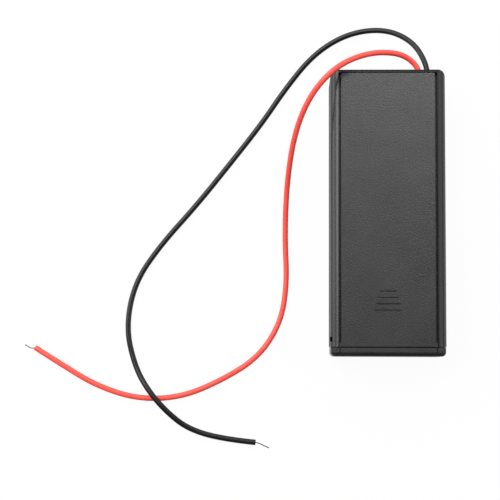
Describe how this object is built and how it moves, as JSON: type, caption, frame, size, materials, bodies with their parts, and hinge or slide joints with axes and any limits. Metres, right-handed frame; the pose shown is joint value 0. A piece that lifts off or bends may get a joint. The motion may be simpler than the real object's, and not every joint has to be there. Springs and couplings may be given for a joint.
{
  "type": "battery holder",
  "caption": "Enclosed flat holder for small cylindrical cells with a sliding snap cover, a recessed slide switch and two stripped leads.",
  "frame": {"origin": "under the middle of the box, on its flat back", "axes": "+X across the width, +Y towards the end that the leads leave, +Z towards the sliding cover"},
  "size_m": [0.0974, 0.0982, 0.0193],
  "materials": {
    "case_plastic": "satin black moulding",
    "cover_plastic": "fine spark-eroded matte black moulding",
    "contact_plate": "nickel-plated strip",
    "spring_wire": "nickel-plated spring wire",
    "switch_steel": "tin-plated steel can",
    "switch_laminate": "brown paper laminate",
    "terminal_brass": "tin-flashed brass",
    "knob_plastic": "black moulding",
    "wiper_copper": "phosphor bronze strip",
    "red_insulation": "soft satin red wire insulation",
    "black_insulation": "soft satin black wire insulation",
    "tinned_strand": "tinned copper strands",
    "solder": "bright solder"
  },
  "bodies": {
    "box": {"case": "case_plastic", "positive_contact": "contact_plate", "negative_contact": "contact_plate", "bridge_contact": "contact_plate", "negative_spring": "spring_wire", "bridge_spring": "spring_wire", "switch_frame": "switch_steel", "switch_base": "switch_laminate", "switch_terminal_on": "terminal_brass", "switch_terminal_common": "terminal_brass", "switch_terminal_off": "terminal_brass", "jumper_wire": "red_insulation", "red_lead": "red_insulation", "red_lead_strands": "tinned_strand", "black_lead": "black_insulation", "black_lead_strands": "tinned_strand", "solder_switch_common": "solder", "solder_switch_on": "solder", "solder_positive": "solder", "solder_negative": "solder"},
    "cover": {"cover": "cover_plastic"},
    "switch_slider": {"switch_slider": "knob_plastic", "switch_wiper": "wiper_copper"}
  },
  "joints": [
    {"name": "cover_slide", "type": "slide", "parent": "box", "child": "cover", "axis": [0, -1, 0], "range_m": [0, 0.066]},
    {"name": "switch_slide", "type": "slide", "parent": "box", "child": "switch_slider", "axis": [-1, 0, 0], "range_m": [0, 0.0025]}
  ]
}
